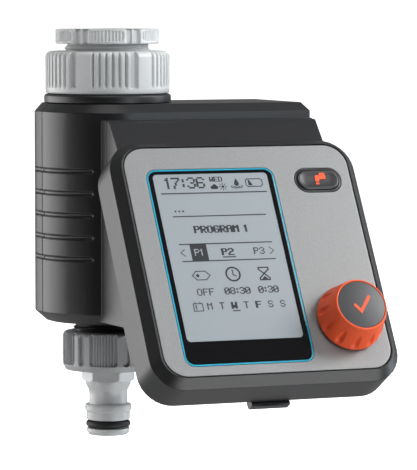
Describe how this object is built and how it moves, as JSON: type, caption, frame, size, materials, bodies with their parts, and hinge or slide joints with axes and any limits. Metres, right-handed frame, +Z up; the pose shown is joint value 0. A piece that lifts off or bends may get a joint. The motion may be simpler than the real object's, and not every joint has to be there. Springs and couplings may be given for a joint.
{
  "type": "irrigation controller",
  "caption": "Tap-mounted water timer: valve column with union nut and hose nipple, and a removable tilted control unit with display, knob and button.",
  "frame": {"origin": "centre of the tap adaptor's mouth, on the valve column's axis", "axes": "+Z up along the column towards the tap, -Y to the front, where the panel faces, +X to the right along the control unit"},
  "size_m": [0.1052, 0.125, 0.1535],
  "materials": {
    "light_plastic": "satin moulded plastic",
    "grey_plastic": "satin moulded plastic",
    "dark_plastic": "fine satin grain",
    "black_plastic": "matt moulded plastic",
    "silver_plate": "silver paint with a fine metallic grain",
    "cyan_trim": "gloss",
    "black_glass": "high gloss",
    "lcd_grey": "satin display film",
    "orange_plastic": "stippled soft-touch",
    "cap_grey": "satin",
    "rubber": "matt",
    "white_plastic": "matt",
    "steel": "plain",
    "copper": "enamelled copper winding",
    "board": "solder mask"
  },
  "bodies": {
    "housing": {"inlet_filter": "white_plastic", "collar_ring": "dark_plastic", "valve_body": "black_plastic", "diaphragm": "rubber", "diaphragm_spring": "steel", "valve_bonnet": "grey_plastic", "bonnet_screw_1": "steel", "bonnet_screw_2": "steel", "bonnet_screw_3": "steel", "bonnet_screw_4": "steel", "solenoid_coil": "copper", "solenoid_yoke": "steel", "plunger_spring": "steel", "housing_front": "dark_plastic", "housing_rear": "dark_plastic", "housing_screw_1": "steel", "housing_screw_2": "steel", "housing_screw_3": "steel", "housing_screw_4": "steel", "contact_socket": "black_plastic", "solenoid_lead": "rubber"},
    "union_nut": {"inlet_nut": "light_plastic"},
    "inlet_seal": {"inlet_washer": "rubber"},
    "adaptor": {"inlet_adaptor": "light_plastic"},
    "outlet_seal": {"outlet_washer": "rubber"},
    "swivel_nut": {"outlet_nut": "grey_plastic"},
    "nipple": {"outlet_nipple": "light_plastic", "nipple_oring": "rubber"},
    "control_unit": {"control_frame": "dark_plastic", "unit_rear_cover": "dark_plastic", "unit_gasket": "rubber", "face_plate": "silver_plate", "window_trim": "cyan_trim", "display_window": "black_glass", "lcd_module": "lcd_grey", "main_pcb": "board", "encoder_body": "black_plastic", "button_ring": "black_plastic", "tact_switch": "black_plastic", "battery": "black_plastic", "battery_snap": "black_plastic", "battery_door": "dark_plastic", "latch_spring": "steel", "contact_plug": "white_plastic", "unit_screw_1": "steel", "unit_screw_2": "steel", "unit_screw_3": "steel", "unit_screw_4": "steel"},
    "knob_press": {"encoder_slider": "white_plastic"},
    "knob": {"encoder_shaft": "steel", "knob": "orange_plastic", "knob_cap": "cap_grey", "knob_mark": "orange_plastic"},
    "button": {"manual_button": "black_plastic"},
    "latch": {"latch": "dark_plastic"},
    "plunger": {"plunger": "steel"},
    "valve_disc": {"valve_disc": "rubber"}
  },
  "joints": [
    {"name": "union_nut_spin", "type": "hinge", "parent": "housing", "child": "union_nut", "pos_m": [0, 0, -0.016], "axis": [0, 0, 1], "continuous": true},
    {"name": "adaptor_rise", "type": "slide", "parent": "housing", "child": "inlet_seal", "axis": [0, 0, 1], "range_m": [0, 0.00693]},
    {"name": "adaptor_turn", "type": "hinge", "parent": "inlet_seal", "child": "adaptor", "pos_m": [0, 0, -0.008], "axis": [0, 0, 1], "range_deg": [0, 1080]},
    {"name": "outlet_drop", "type": "slide", "parent": "housing", "child": "outlet_seal", "axis": [0, 0, -1], "range_m": [0, 0.00908]},
    {"name": "outlet_nut_turn", "type": "hinge", "parent": "outlet_seal", "child": "swivel_nut", "pos_m": [0, 0, -0.121], "axis": [0, 0, -1], "range_deg": [0, 1800]},
    {"name": "nipple_swivel", "type": "hinge", "parent": "outlet_seal", "child": "nipple", "pos_m": [0, 0, -0.14], "axis": [0, 0, 1], "continuous": true},
    {"name": "unit_lift_off", "type": "slide", "parent": "housing", "child": "control_unit", "axis": [0, -0.866, 0.5], "range_m": [0, 0.045]},
    {"name": "knob_push", "type": "slide", "parent": "control_unit", "child": "knob_press", "axis": [0, 0.866, -0.5], "range_m": [0, 0.0006], "stiffness_N_per_m": 1500, "springref_m": -0.001},
    {"name": "knob_turn", "type": "hinge", "parent": "knob_press", "child": "knob", "pos_m": [0.0603, -0.0849, -0.10463], "axis": [0, -0.866, 0.5], "continuous": true},
    {"name": "button_push", "type": "slide", "parent": "control_unit", "child": "button", "axis": [0, 0.866, -0.5], "range_m": [0, 0.0008], "stiffness_N_per_m": 1000, "springref_m": -0.001},
    {"name": "latch_push", "type": "slide", "parent": "control_unit", "child": "latch", "axis": [0, 0.5, 0.866], "range_m": [0, 0.0016], "stiffness_N_per_m": 1200, "springref_m": -0.001, "deforming": ["latch_spring"]},
    {"name": "plunger_lift", "type": "slide", "parent": "housing", "child": "plunger", "axis": [1, 0, 0], "range_m": [0, 0.0012], "stiffness_N_per_m": 300, "springref_m": -0.002, "deforming": ["plunger_spring"]},
    {"name": "valve_lift", "type": "slide", "parent": "housing", "child": "valve_disc", "axis": [1, 0, 0], "range_m": [0, 0.003], "stiffness_N_per_m": 200, "springref_m": -0.002, "deforming": ["diaphragm_spring"]}
  ],
  "couplings": [
    {"joint": "adaptor_rise", "follows": "adaptor_turn", "m_per_rad": 0.00036749},
    {"joint": "outlet_drop", "follows": "outlet_nut_turn", "m_per_rad": 0.00028871}
  ]
}
